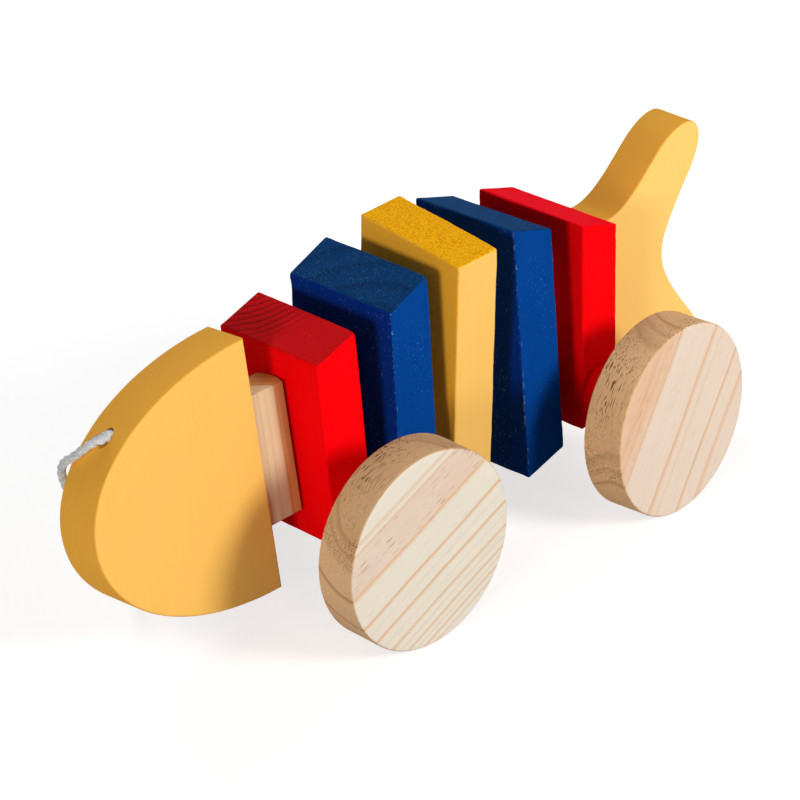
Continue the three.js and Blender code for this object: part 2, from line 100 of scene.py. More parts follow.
# Corner wear: a block's name, the spot in its own frame, reach and added ease
CHIP_ROUGHNESS = 0.6
CHIPS = [
    ("rear_red", (-9, 9, 39.6), 2.6, 0.9),
    ("rear_red", (-9, 16, 39.6), 1.8, 0.7),
    ("rear_red", (-9, -2, 39.6), 2.0, 0.6),
    ("front_blue", (0.6, 23.9, 44.1), 2.4, 1.9),
    ("front_blue", (-9, 23.9, 40.7), 3.0, 0.8),
    ("middle_yellow", (-9, 20, 50.7), 2.6, 0.7),
    ("middle_yellow", (9, -23.9, 51), 2.4, 0.5),
    ("rear_blue", (-9, 14, 46.8), 2.8, 0.7),
    ("front_red", (-9, -20, 33.7), 2.4, 0.6),
    ("front_red", (9, -24, 39.2), 2.6, 0.7),
    ("front_blue", (9, -24, 47.4), 2.6, 0.8),
    ("rear_red", (9, -24, 34), 2.4, 0.6),
]

SPACER_WIDTH = 12.5
SPACER_HEIGHT = 47.6
SPACER_EASE = 0.55
CROWN_RADIUS = 14
CROWN_STEPS = 24
NECK_FRONT = -1.1
GLUE_GAP = 0.3

HEAD_REAR = -1.4
HEAD_OFFSET = 1.6
HEAD_LENGTH = 71
HEAD_TOP = 45
HEAD_BOTTOM = -46
NOSE_HEIGHT = 0
BROW_FULLNESS = 0.564
CHIN_FULLNESS = 0.566
MOUTH = (-55.021, 29.916)
CORD_HOLE = 4.5
CORD_HOLE_DEPTH = 12
HEAD_STEPS = 64

BOARD_THICKNESS = 18
BOARD_EASE = 0.8
TAIL_ROOT_HALF = 22.3
TAIL_ROOT_DROP = 5.2
TAIL_RISE = 4
TAIL_NOTCH = 27
TAIL_STEPS = 20
# Curves of one lobe from the root to the notch: two handles and the end of each
TAIL_LOBE = [
    (10, 22.8, 17, 31.5, 26.5, 40.4),
    (30.2, 43.9, 34.6, 46.7, 39.6, 47.3),
    (43.6, 47.8, 46.9, 45.2, 46.6, 40.2),
    (46.2, 34.6, 41.6, 28.2, 37.1, 21.9),
    (33.5, 16.6, 27, 8, 27, 0),
]
CORD_BORE = 6
POCKET_WIDTH = 8.6
POCKET_DEPTH = 8

WHEEL_RADIUS = 35
WHEEL_OUTER = 60.4
WHEEL_INNER = 44.4
WHEEL_EASE = 0.8
WHEEL_RING = 3
WHEEL_BORE = 8.6
WHEEL_BORE_DEPTH = 11
HUB_RADIUS = 11.5
HUB_FROM = 24.9
HUB_TO = 43.5
HUB_EASE = 0.9
HUB_EASE_STEPS = 4
HUB_BORE = 8.6

CORD_WIDTH = 3
CORD_STEP = 0.45
CURVE_STEP = 0.5
CORD_SWELL = (0.36, 4, 2.9)  # share, place along the cord and reach
BODY_CORD_WIDTH = 2.9
BODY_CORD_STEP = 0.6
# Knots: width, length and the width of the cord in them
BODY_KNOT = (7, 6.4, 2.3)
END_KNOT = (7.2, 7, 2.4)
# The pull cord, first from the hole's mouth in the head's frame, then down to the floor
CORD_DRAPE = [
    (4.4, 0, 0),
    (0, -0.2, 0.4),
    (-4.1, 1.7, -0.4),
    (-8.8, 7.6, -5.2),
    (-9.5, 10, -6.6),
    (-9.5, 12.3, -9),
    (-9, 14.1, -12.2),
    (-8, 15, -16.2),
]
CORD_FALL = [
    (-130.696, 13.017, 60.8),
    (-126.296, 13.417, 52.6),
    (-121.496, 14.417, 44.6),
    (-115.996, 16.617, 35.6),
    (-109.996, 20.217, 26.2),
    (-103.496, 25.017, 16.7),
    (-96.496, 31.017, 8.6),
    (-89.496, 37.817, 3.6),
    (-83.996, 45.217, 1.8),
    (-79.996, 53.217, 1.7),
    (-75.496, 60.217, 1.7),
    (-68.996, 66.717, 1.7),
    (-60.496, 70.617, 1.7),
    (-50.496, 72.017, 1.8),
    (-40.496, 72.217, 2.2),
]
COIL_CENTRE = (-28.496, 92.217)
COIL_RADIUS = 20.1
COIL_PITCH = 3.6
COIL_LAYER = 3.5
COIL_FLOOR = 2.5
TURNS_IN = 2.25
TURNS_ALL = 4.25
COIL_END_RUN = 12
COIL_END_DROP = 2.4
COIL_STEPS = 136
COIL_CLIMB = 0.5
# The coil's tie: reach from the coil's centre, levels, corner radius, cord and offsets of its loops
TIE_INNER = 11.4
TIE_OUTER = 19.8
TIE_LOW = 0.5
TIE_HIGH = 8.4
TIE_CORNER = 1.5
TIE_CORNER_STEPS = 6
TIE_CORD = 0.95
TIE_LOOPS = (-1, 0, 1)

FLOOR_HALF = 3000
FLOOR_GREYS = ((0.48, 0.48, 0.48), (0.5, 0.5, 0.5))
FLOOR_GLOW = ((0.2, 0.7), (0.75, 1))  # metres from the middle, and strength seen by the camera
WORLD_LIGHT = 0.16
# Lamps: place and size in metres, power in watts, and colour
LAMP_AIM = (0, 0, 0.05)
LAMPS = {
    "key": ((0.38, -1.22, 0.62), 0.46, 14.8, (1, 0.98, 0.95)),
    "fill": ((-1.33, -0.54, 0.37), 0.3, 8.7, (1, 1, 1)),
    "back": ((0.3, 1.15, 0.95), 0.8, 8.6, (1, 1, 1)),
}


def frame_of(name):
    """A link's own frame at rest, in metres."""
    place, turn = LINK_FRAMES[name]
    turned = Euler([math.radians(a) for a in turn], "XYZ").to_matrix().to_4x4()
    return Matrix.Translation(Vector(place) * MM) @ turned


def in_link(name, x, y, z):
    """A spot of a link's frame, in metres in the part's frame."""
    return frame_of(name) @ (Vector((x, y, z)) * MM)


def moved(name, x, y, z):
    """A link's frame moved along its own axes."""
    return frame_of(name) @ Matrix.Translation(Vector((x, y, z)) * MM)


# Shapes


def mesh_object(name, points, faces, place=Matrix.Identity(4)):
    """An object of these points and faces, its normals outward and its large faces cut into triangles."""
    mesh = bpy.data.meshes.new(name)
    mesh.from_pydata([Vector(p) * MM for p in points], [], faces)
    made = bpy.data.objects.new(name, mesh)
    bpy.context.scene.collection.objects.link(made)
    made.matrix_world = place
    tidy = bmesh.new()
    tidy.from_mesh(mesh)
    many = [face for face in tidy.faces if len(face.verts) > 4]
    bmesh.ops.triangulate(tidy, faces=many, ngon_method="EAR_CLIP")
    bmesh.ops.recalc_face_normals(tidy, faces=tidy.faces)
    tidy.to_mesh(mesh)
    tidy.free()
    return made


def smooth(piece, angle=SMOOTH_ANGLE):
    """Shades a piece smooth, with sharp edges past an angle in degrees."""
    mesh = piece.data
    mesh.polygons.foreach_set("use_smooth", [True] * len(mesh.polygons))
    mesh.set_sharp_from_angle(angle=math.radians(angle))


def carve(piece, *cutters):
    """Cuts the cutters out of a piece, deletes them, and joins or fills what the cuts leave without area."""
    for cutter in cutters:
        step = piece.modifiers.new("cut", "BOOLEAN")
        step.operation = "DIFFERENCE"
        step.solver = "EXACT"
        step.object = cutter
    graph = bpy.context.evaluated_depsgraph_get()
    carved = bpy.data.meshes.new_from_object(piece.evaluated_get(graph))
    carved.name = piece.name
    piece.modifiers.clear()
    piece.data = carved
    for cutter in cutters:
        bpy.data.objects.remove(cutter)
    tidy = bmesh.new()
    tidy.from_mesh(carved)
    bmesh.ops.triangulate(tidy, faces=[face for face in tidy.faces if len(face.verts) > 4])
    bmesh.ops.remove_doubles(tidy, verts=tidy.verts, dist=NO_LENGTH)
    bmesh.ops.dissolve_degenerate(tidy, dist=NO_LENGTH, edges=tidy.edges)
    bmesh.ops.holes_fill(tidy, edges=[edge for edge in tidy.edges if edge.is_boundary])
    tidy.to_mesh(carved)
    tidy.free()


def turned(profile, segments, closed=False):
    """Points and faces of a profile of (radius, place) turned about Y."""
    points, rings, faces = [], [], []
    for radius, place in profile:
        if radius == 0:
            rings.append([len(points)] * segments)
            points.append((0, place, 0))
            continue
        start = len(points)
        for i in range(segments):
            angle = 2 * math.pi * i / segments
            points.append((radius * math.cos(angle), place, radius * math.sin(angle)))
        rings.append(list(range(start, start + segments)))
    pairs = list(zip(rings, rings[1:]))
    if closed:
        pairs.append((rings[-1], rings[0]))
    for a, b in pairs:
        for i in range(segments):
            j = (i + 1) % segments
            corners = [a[i], a[j], b[j], b[i]]
            faces.append(list(dict.fromkeys(corners)))
    return points, faces


def drill(name, radius, start, end, place, axis):
    """A round cutter along an axis of a link's frame."""
    points, faces = turned([(0, start), (radius, start), (radius, end), (0, end)], ROUND_SIDES["bore"])
    if axis == "X":
        points = [(y, -x, z) for x, y, z in points]
    return mesh_object(name, points, faces, place)


def rounded(corner, start, end, steps=5):
    """Points of a quarter round from start to end about a square corner."""
    a, c, b = np.array(start, float), np.array(corner, float), np.array(end, float)
    centre = a + b - c
    made = []
    for i in range(steps + 1):
        t = math.pi / 2 * i / steps
        made.append(tuple(centre + (a - centre) * math.cos(t) + (b - centre) * math.sin(t)))
    return made


def slab(outline, width, ease, across):
    """A closed outline as a board of that width with rounded rims. across names the board's axis."""
    spots = np.array(outline, float)
    area = np.sum(spots[:, 0] * np.roll(spots[:, 1], -1) - np.roll(spots[:, 0], -1) * spots[:, 1])
    if area < 0:
        spots = spots[::-1]
    ahead = np.roll(spots, -1, 0) - spots
    ahead /= np.linalg.norm(ahead, axis=1)[:, None]
    normal = np.c_[-ahead[:, 1], ahead[:, 0]]
    before = np.roll(normal, 1, 0)
    inward = (before + normal) / (1 + np.sum(before * normal, 1))[:, None]
    waves, share = BOARD_WANDER
    eases = np.array([
        ease * (1 + share * noise.noise(Vector((x * waves, z * waves, width)))) for x, z in spots
    ])
    half = width / 2
    rings = [(1.4 * eases, half), (1.2 * eases, half)]
    steps = 5
    for i in range(steps + 1):
        t = math.pi / 2 * i / steps
        rings.append((eases * (1 - math.sin(t)), half - eases * (1 - math.cos(t))))
    rings += [(inset, -level) for inset, level in reversed(rings)]
    points = []
    for inset, level in rings:
        ring = spots + inward * inset[:, None]
        levels = np.broadcast_to(level, len(ring))
        points += [(x, -w, z) if across == "Y" else (x, z, w) for (x, z), w in zip(ring, levels)]
    count = len(spots)
    faces = [list(range(count)), list(range(len(points) - count, len(points)))]
    for r in range(len(rings) - 1):
        for i in range(count):
            j = (i + 1) % count
            faces.append([r * count + i, r * count + j, (r + 1) * count + j, (r + 1) * count + i])
    return points, faces


def bezier(a, b, c, d, steps):
    """Points of a curve from a, which is left out, to d."""
    a, b, c, d = (np.array(p, float) for p in (a, b, c, d))
    share = (np.arange(steps) + 1)[:, None] / steps
    rest = 1 - share
    curve = a * rest**3 + 3 * b * rest**2 * share + 3 * c * rest * share**2 + d * share**3
    return [tuple(p) for p in curve]


def grid_steps(half):
    """Places across a block, close together near its edges."""
    inner = half - BLOCK_RIM
    middle = np.linspace(-inner, inner, max(2, round(2 * inner / BLOCK_STEP)))
    near = np.array(BLOCK_FINE_STEPS)
    return np.concatenate([-half + near, middle, half - near[::-1]])


def box_shell(xs, ys, zs):
    """Points and faces of a box's surface on three lists of places."""
    index, points, faces = {}, [], []

    def at(*key):
        if key not in index:
            index[key] = len(points)
            points.append((xs[key[0]], ys[key[1]], zs[key[2]]))
        return index[key]

    ends = [len(a) - 1 for a in (xs, ys, zs)]
    for axis in range(3):
        u, v = (axis + 1) % 3, (axis + 2) % 3
        for level in (0, ends[axis]):
            for i in range(ends[u]):
                for j in range(ends[v]):
                    corners = []
                    for di, dj in ((0, 0), (1, 0), (1, 1), (0, 1)):
                        key = [0, 0, 0]
                        key[axis], key[u], key[v] = level, i + di, j + dj
                        corners.append(at(*key))
                    faces.append(corners if level else corners[::-1])
    return np.array(points), faces


def worn_block(name, seed):
    """A block with edges eased by hand: the ease wanders, and is larger at chips."""
    front, rear, _ = BLOCKS[name]
    half = np.array([BLOCK_THICKNESS, BLOCK_WIDTH, max(front, rear)]) / 2
    points, faces = box_shell(*(grid_steps(h) for h in half))
    (waves, depth), (fine_waves, fine_depth) = BLOCK_WANDER, BLOCK_FINE_WANDER
    wander = np.array([noise.noise(Vector(p) * waves + Vector((seed, 0, 0))) for p in points])
    fine = np.array([noise.noise(Vector(p) * fine_waves + Vector((0, seed, 0))) for p in points])
    ease = BLOCK_EASE * (1 + depth * wander + fine_depth * fine)
    for block, spot, reach, added in CHIPS:
        if block == name:
            away = np.linalg.norm(points - np.array(spot), axis=1)
            ease = ease + added * np.exp(-((away / reach) ** 2)) * (1 + CHIP_ROUGHNESS * fine)
    core = np.clip(points, -half + ease[:, None], half - ease[:, None])
    out = points - core
    length = np.maximum(np.linalg.norm(out, axis=1), 1e-9)[:, None]
    points = core + out / length * ease[:, None]
    share = (points[:, 0] + half[0]) / (2 * half[0])
    points[:, 2] *= (front + (rear - front) * share) / max(front, rear)
    return points, faces


def catmull(points, step):
    """A centripetal curve through the points, sampled about every step."""
    spots = [np.array(p, float) for p in points]
    spots = [2 * spots[0] - spots[1], *spots, 2 * spots[-1] - spots[-2]]
    made = []
    for p0, p1, p2, p3 in zip(spots, spots[1:], spots[2:], spots[3:]):
        d0, d1, d2 = (math.sqrt(np.linalg.norm(b - a)) for a, b in ((p0, p1), (p1, p2), (p2, p3)))
        t1 = ((p1 - p0) / d0 - (p2 - p0) / (d0 + d1) + (p2 - p1) / d1) * d1
        t2 = ((p2 - p1) / d1 - (p3 - p1) / (d1 + d2) + (p3 - p2) / d2) * d1
        count = max(2, round(np.linalg.norm(p2 - p1) / step))
        for i in range(count):
            s = i / count
            made.append(
                p1 * (2 * s**3 - 3 * s**2 + 1) + t1 * (s**3 - 2 * s**2 + s)
                + p2 * (3 * s**2 - 2 * s**3) + t2 * (s**3 - s**2)
            )
    made.append(spots[-2])
    return np.array(made)


def evenly(path, step):
    """The same path with points at even distances, of about a step."""
    run = np.concatenate([[0], np.cumsum(np.linalg.norm(np.diff(path, axis=0), axis=1))])
    places = np.linspace(0, run[-1], max(3, round(run[-1] / step) + 1))
    return np.stack([np.interp(places, run, path[:, k]) for k in range(3)], 1)


def twine(path, width, sides=24, strands=3, lay=3.1, closed=False, swell=None):
    """A twisted cord along an even path: round strands that turn once in lay widths.

    swell thickens one place.
    """
    along = np.gradient(path, axis=0)
    if closed:
        along = np.roll(path, -1, 0) - np.roll(path, 1, 0)
    along /= np.linalg.norm(along, axis=1)[:, None]
    side = np.cross(along[0], [0.3, 0.2, 0.93])
    points, run = [], 0
    for i, spot in enumerate(path):
        side = side - along[i] * side.dot(along[i])
        side /= np.linalg.norm(side)
        up = np.cross(along[i], side)
        if i:
            run += np.linalg.norm(spot - path[i - 1])
        spin = 2 * math.pi * run / (lay * width)
        for k in range(sides):
            angle = 2 * math.pi * k / sides
            lobe = abs(math.cos(strands / 2 * (angle - spin))) ** 0.7
            radius = width / 2 * (0.7 + 0.3 * lobe)
            if swell:
                rise = swell[0] * math.exp(-(((run - swell[1]) / swell[2]) ** 2))
                radius *= 1 + rise * (1 + 0.5 * noise.noise(Vector((run * 1.7, angle * 2.4, 1))))
            points.append(spot + radius * (math.cos(angle) * side + math.sin(angle) * up))
    faces = []
    rings = len(path)
    for r in range(rings if closed else rings - 1):
        s = (r + 1) % rings
        for k in range(sides):
            j = (k + 1) % sides
            faces.append([r * sides + k, r * sides + j, s * sides + j, s * sides + k])
    if not closed:
        faces.append(list(range(sides))[::-1])
        faces.append(list(range((rings - 1) * sides, rings * sides)))
    return points, faces


def knot_path(width, length, cord):
    """A closed overhand turn that fits a knot of that width and length along Y."""
    flat = (width - cord) / 6
    tall = (length - cord) / 2
    turns = np.linspace(0, 2 * math.pi, 120, endpoint=False)
    return np.stack([
        flat * (np.sin(turns) + 2 * np.sin(2 * turns)),
        -tall * np.sin(3 * turns),
        flat * (np.cos(turns) - 2 * np.cos(2 * turns)),
    ], 1)


# Camera
back = Vector((
    math.sin(math.radians(CAMERA_AZIMUTH)) * math.cos(math.radians(CAMERA_ELEVATION)),
    -math.cos(math.radians(CAMERA_AZIMUTH)) * math.cos(math.radians(CAMERA_ELEVATION)),
    math.sin(math.radians(CAMERA_ELEVATION)),
))
camera = bpy.data.objects.new("camera", bpy.data.cameras.new("camera"))
bpy.context.scene.collection.objects.link(camera)
level = back.to_track_quat("Z", "Y").to_matrix().to_4x4()
roll = Matrix.Rotation(math.radians(CAMERA_ROLL), 4, "Z")
camera.matrix_world = Matrix.Translation((Vector(CAMERA_TARGET) + back * CAMERA_DISTANCE) * MM) @ level @ roll
camera.data.lens = CAMERA_LENS
camera.data.sensor_width = CAMERA_SENSOR
camera.data.clip_start = 0.05
camera.data.clip_end = 50
bpy.context.scene.camera = camera


# Materials


MATTE_GLOSS = 0.02
RAMP_RINGS = 10  # rings in one ramp, which holds 32 stops
DASH_DARKNESS = (0.42, 0.36, 0.4)
PAINT_TURN = (0, 90, 0)
PAINT_GRAIN = 0.35


class Web:
    """A material's nodes, with short calls to add and join them."""

    def __init__(self, name):
        self.material = bpy.data.materials.new(name)
        self.material.use_nodes = True
        self.tree = self.material.node_tree
        self.shader = self.tree.nodes["Principled BSDF"]

    def add(self, kind, settings=None, **inputs):
        """A new node with these settings, and values or links on its inputs."""
        node = self.tree.nodes.new(kind)
        for key, value in (settings or {}).items():
            setattr(node, key, value)
        for key, value in inputs.items():
            self.put(node.inputs[key.replace("_", " ")], value)
        return node

    def put(self, socket, value):
        if isinstance(value, bpy.types.NodeSocket):
            self.tree.links.new(value, socket)
        elif isinstance(value, bpy.types.Node):
            self.tree.links.new(value.outputs[0], socket)
        else:
            socket.default_value = value

    def math(self, operation, a, b=0.0, c=0.0):
        node = self.add("ShaderNodeMath", {"operation": operation})
        for socket, value in zip(node.inputs, (a, b, c)):
            self.put(socket, value)
        return node.outputs[0]

    def mix(self, share, a, b):
        """Colour a, with a share of colour b."""
        node = self.add("ShaderNodeMix", {"data_type": "RGBA", "blend_type": "MIX"})
        self.put(node.inputs[0], share)
        self.put(node.inputs[6], a if not isinstance(a, tuple) else (*a, 1))
        self.put(node.inputs[7], b if not isinstance(b, tuple) else (*b, 1))
        return node.outputs[2]

    def ramp(self, value, *stops):
        """A level that runs straight between stops of (place, level)."""
        node = self.add("ShaderNodeValToRGB", Fac=value)
        points = node.color_ramp.elements
        while len(points) < len(stops):
            points.new(0.5)
        for point, (place, level) in zip(points, stops):
            point.position = place
            point.color = (level, level, level, 1)
        return node.outputs[0]

    def coords(self, turn=(0, 0, 0), scale=(1, 1, 1), move=(0, 0, 0)):
        """The piece's own coordinates in millimetres, turned in degrees, moved and scaled."""
        source = self.add("ShaderNodeTexCoord").outputs["Object"]
        large = self.add("ShaderNodeVectorMath", {"operation": "SCALE"})
        self.put(large.inputs[0], source)
        self.put(large.inputs["Scale"], 1 / MM)
        place = self.add("ShaderNodeMapping", {"vector_type": "POINT"})
        self.put(place.inputs["Vector"], large.outputs[0])
        place.inputs["Location"].default_value = move
        place.inputs["Rotation"].default_value = [math.radians(a) for a in turn]
        stretch = self.add("ShaderNodeVectorMath", {"operation": "MULTIPLY"})
        self.put(stretch.inputs[0], place.outputs[0])
        self.put(stretch.inputs[1], scale)
        return stretch.outputs[0]

    def noise(self, where, detail, rough=0.55):
        """Noise whose waves are as long as the units of its coordinates."""
        node = self.add("ShaderNodeTexNoise", {"noise_dimensions": "3D"})
        self.put(node.inputs["Vector"], where)
        node.inputs["Scale"].default_value = 1
        node.inputs["Detail"].default_value = detail
        node.inputs["Roughness"].default_value = rough
        return node.outputs[0]

    def bump(self, height, depth):
        """Fine relief, its depth in millimetres."""
        node = self.add("ShaderNodeBump")
        self.put(node.inputs["Height"], height)
        node.inputs["Strength"].default_value = 1
        node.inputs["Distance"].default_value = depth * MM
        self.put(self.shader.inputs["Normal"], node.outputs[0])

    def finish(self, colour, rough, sheen=0.0):
        """Sets a matte surface and gives back the material."""
        self.put(self.shader.inputs["Base Color"], colour)
        self.put(self.shader.inputs["Roughness"], rough)
        self.shader.inputs["Specular IOR Level"].default_value = MATTE_GLOSS
        if sheen:
            self.shader.inputs["Sheen Weight"].default_value = sheen
        return self.material


def pine(
    name, turn, rings, pale, pink, late, zone, span=80, seed=0, tilt=0.0, bow=0.0, face=0.0,
    dashes=0.8, dotted=0.66, fuzz=0.16,
):
    """Raw pine, its fibres along the turned X axis. rings are (place, width, strength) across it at Y = face.

    tilt and bow lead the rings aside with depth. zone is the band of places where the wood is pinker and has
    more resin dashes, within a span about 0. dotted is the noise level at which dashes begin.
    """
    web = Web(name)
    grain = web.coords(turn)
    wander = web.noise(web.coords(turn, (0.012, 0.05, 0.05), (seed * 17, 0, 0)), 2)
    split = web.add("ShaderNodeSeparateXYZ", Vector=grain)
    deeper = web.math("SUBTRACT", split.outputs["Y"], face)
    across = web.math("MULTIPLY_ADD", deeper, tilt, split.outputs["Z"])
    across = web.math("MULTIPLY_ADD", web.math("MULTIPLY", deeper, deeper), bow, across)
    bowed = web.math("MULTIPLY_ADD", web.math("SUBTRACT", wander, 0.5), 3.0, across)
    share = web.math("MULTIPLY_ADD", bowed, 1 / span, 0.5)
    ring = 0.0
    for part in (sorted(rings)[:RAMP_RINGS], sorted(rings)[RAMP_RINGS:]):
        stops = []
        for place, width, strength in part:
            middle = place / span + 0.5
            wide = width / span
            stops += [(middle - wide, 0), (middle - 0.12 * wide, strength), (middle + 0.25 * wide, 0)]
        if stops:
            ring = web.math("MAXIMUM", ring, web.ramp(share, *stops))
    streak = web.noise(web.coords(turn, (0.025, 1.6, 1.6), (0, seed, 0)), 4, 0.62)
    soft = web.noise(web.coords(turn, (0.03, 0.09, 0.09), (seed, 0, 5)), 2)
    dots = web.noise(web.coords(turn, (0.17, 2.6, 2.6), (seed * 3, 2, 0)), 0.6, 0.4)
    patch = web.noise(web.coords(turn, (0.05, 0.07, 0.07), (0, seed * 2, 3)), 1)
    low, high = (place / span + 0.5 for place in zone)
    edge = 0.7 / span
    heart = web.ramp(share, (low - edge, 0), (low + edge, 1), (high - edge, 1), (high + edge, 0))
    ground = web.mix(web.math("MULTIPLY", heart, web.ramp(soft, (0.3, 0.7), (0.6, 1))), pale, pink)
    ground = web.mix(web.ramp(streak, (0.42, 0), (0.75, fuzz)), ground, late)
    worn = web.math("MULTIPLY", ring, web.ramp(streak, (0.25, 1), (0.75, 0.7)))
    banded = web.mix(worn, ground, late)
    likely = web.math("MULTIPLY_ADD", heart, 0.8, 0.2)
    dash = web.ramp(dots, (dotted, 0), (dotted + 0.05, dashes))
    dash = web.math("MULTIPLY", dash, web.ramp(patch, (0.36, 0.25), (0.6, 1)))
    dash = web.math("MULTIPLY", dash, likely)
    deep = tuple(c * m for c, m in zip(late, DASH_DARKNESS))
    colour = web.mix(dash, banded, deep)
    height = web.math("ADD", web.math("MULTIPLY", streak, 0.5), web.math("MULTIPLY", dash, -0.8))
    web.bump(height, 0.06)
    return web.finish(colour, web.math("MULTIPLY_ADD", ring, -0.12, 0.68))


def paint(name, colour, shade, seed, speck=None, specks=0.0, corner=None):
    """Matte paint on a side face, the upright fibres just showing.

    speck colours chalky specks, and bare spots along upright corners. corner is where those corners stand, as
    half the width along X and Y.
    """
    web = Web(name)
    streak = web.noise(web.coords(PAINT_TURN, (0.025, 0.7, 0.7), (0, seed, seed)), 4, 0.6)
    cloud = web.noise(web.coords((0, 0, 0), (0.04, 0.04, 0.04), (seed, 0, 0)), 3)
    fine = web.noise(web.coords((0, 0, 0), (2.2, 2.2, 2.2)), 2)
    fibres = web.ramp(streak, (0.45, 0), (0.75, PAINT_GRAIN))
    share = web.math("ADD", fibres, web.ramp(cloud, (0.4, 0), (0.75, 0.3)))
    mixed = web.mix(share, colour, shade)
    if speck:
        dust = web.noise(web.coords((0, 0, 0), (1.5, 1.5, 1.1), (seed, 0, 2)), 2, 0.65)
        patch = web.noise(web.coords((0, 0, 0), (0.09, 0.09, 0.06), (0, seed, 0)), 2)
        chalk = web.ramp(dust, (0.62, 0), (0.72, specks))
        chalk = web.math("MULTIPLY", chalk, web.ramp(patch, (0.38, 0.1), (0.62, 1)))
        if corner:
            split = web.add("ShaderNodeSeparateXYZ", Vector=web.coords())
            near = 1.0
            for axis, half in zip("XY", corner):
                gap = web.math("SUBTRACT", half, web.math("ABSOLUTE", split.outputs[axis]))
                near = web.math("MULTIPLY", near, web.ramp(gap, (0.25, 1), (0.75, 0)))
            bare = web.noise(web.coords((0, 0, 0), (0.5, 0.5, 0.32), (0, 0, seed)), 3, 0.7)
            rubbed = web.math("MULTIPLY", near, web.ramp(bare, (0.56, 0), (0.66, 0.85)))
            chalk = web.math("MAXIMUM", chalk, rubbed)
        mixed = web.mix(chalk, mixed, speck)
    web.bump(web.math("ADD", streak, web.math("MULTIPLY", fine, 0.35)), 0.035)
    return web.finish(mixed, web.math("MULTIPLY_ADD", fine, 0.14, 0.6))


def end_grain(
    name, colour, shade, pith, pitch, rings, reach, speck, specks, pits, seed,
    dusty=(0.58, 0.7), bare=0.35, grit=1.9,
):
    """Paint on end grain: year rings about a pith beside the block, pale specks and fine pits.

    rings is the rings' strength, which fades over a reach of distances from the pith. dusty are the noise
    levels at which specks begin and are full, bare their share where they are sparse, and grit their waves
    per millimetre.
    """
    web = Web(name)
    flat = web.coords((0, 0, 0), (1, 1, 0), (-pith[0], -pith[1], 0))
    away = web.add("ShaderNodeVectorMath", {"operation": "LENGTH"})
    web.put(away.inputs[0], flat)
    bend = web.noise(web.coords((0, 0, 0), (0.06, 0.06, 0.06), (seed, 0, 0)), 2)
    run = web.math("MULTIPLY_ADD", bend, 4.0, away.outputs["Value"])
    phase = web.math("FRACT", web.math("MULTIPLY", run, 1 / pitch))
    ring = web.ramp(phase, (0.0, 0), (0.5, 0.2 * rings), (0.8, rings), (0.97, 0))
    shown = web.ramp(web.math("MULTIPLY", run, 0.01), (0.01 * reach[0], 1), (0.01 * reach[1], 0.12))
    ring = web.math("MULTIPLY", ring, shown)
    dust = web.noise(web.coords((0, 0, 0), (grit, grit, grit), (0, seed, 0)), 1.5, 0.6)
    dots = web.add("ShaderNodeTexVoronoi", {"feature": "F1"})
    web.put(dots.inputs["Vector"], web.coords((0, 0, 0), (1.3, 1.3, 1.3), (seed, seed, 0)))
    dots.inputs["Scale"].default_value = 1
    pit = web.ramp(dots.outputs["Distance"], (0.12, pits), (0.42, 0))
    patch = web.noise(web.coords((0, 0, 0), (0.11, 0.11, 0.11), (0, 0, seed)), 2)
    colour = web.mix(ring, colour, shade)
    colour = web.mix(pit, colour, tuple(c * 0.6 for c in shade))
    chalk = web.ramp(dust, (dusty[0], 0), (dusty[1], specks))
    chalk = web.math("MULTIPLY", chalk, web.ramp(patch, (0.4, bare), (0.6, 1)))
    colour = web.mix(chalk, colour, speck)
    height = web.math("SUBTRACT", web.math("MULTIPLY", dust, 0.5), pit)
    web.bump(height, 0.16)
    return web.finish(colour, web.math("MULTIPLY_ADD", dust, 0.2, 0.6))


def cotton(name, colour, shade):
    """Soft cotton fibres, their hollows shaded."""
    web = Web(name)
    fibre = web.noise(web.coords((0, 0, 0), (3, 3, 3)), 4, 0.7)
    cloud = web.noise(web.coords((0, 0, 0), (0.4, 0.4, 0.4)), 2)
    hollow = web.ramp(fibre, (0.42, 0), (0.62, 0.75))
    share = web.math("ADD", hollow, web.ramp(cloud, (0.4, 0), (0.7, 0.3)))
    web.bump(fibre, 0.3)
    return web.finish(web.mix(share, colour, shade), 0.9, 0.3)


# Paints, each with the shade of its streaks
YELLOW = (0.92, 0.52, 0.116)
YELLOW_SHADE = (0.89, 0.485, 0.1)
# The tail's paint, paler and more lemon than the head's: partly the tail's own tone, partly painted light
# that makes up for the shadow the rear red block casts on it from the fill lamp.
LEMON = (0.95, 0.6, 0.165)
LEMON_SHADE = (0.92, 0.58, 0.15)
OCHRE = (0.88, 0.43, 0.056)
OCHRE_SHADE = (0.82, 0.37, 0.04)
AMBER = (0.92, 0.55, 0.136)
AMBER_SHADE = (0.88, 0.5, 0.112)
# Painted shade: the amber block's front faces, in the gap behind the blue block, get a deeper, more orange
# copy of the amber paint.
PAINTED_SHADE_AMBER = (0.98, 0.45, 0.035)
PAINTED_SHADE_AMBER_STREAKS = (0.94, 0.41, 0.028)
RED = (0.93, 0.0005, 0.003)
RED_SHADE = (0.86, 0.0005, 0.002)
BLUE = (0.0004, 0.05, 0.265)
BLUE_SHADE = (0.0004, 0.04, 0.222)
# Painted shade: the blue blocks' front faces, in the gaps behind the blocks ahead, get a darker copy of the
# blue paint.
PAINTED_SHADE_BLUE = (0.0007, 0.026, 0.21)
PAINTED_SHADE_BLUE_STREAKS = (0.0006, 0.018, 0.15)
CHALK_BLUE = (0.2, 0.34, 0.56)
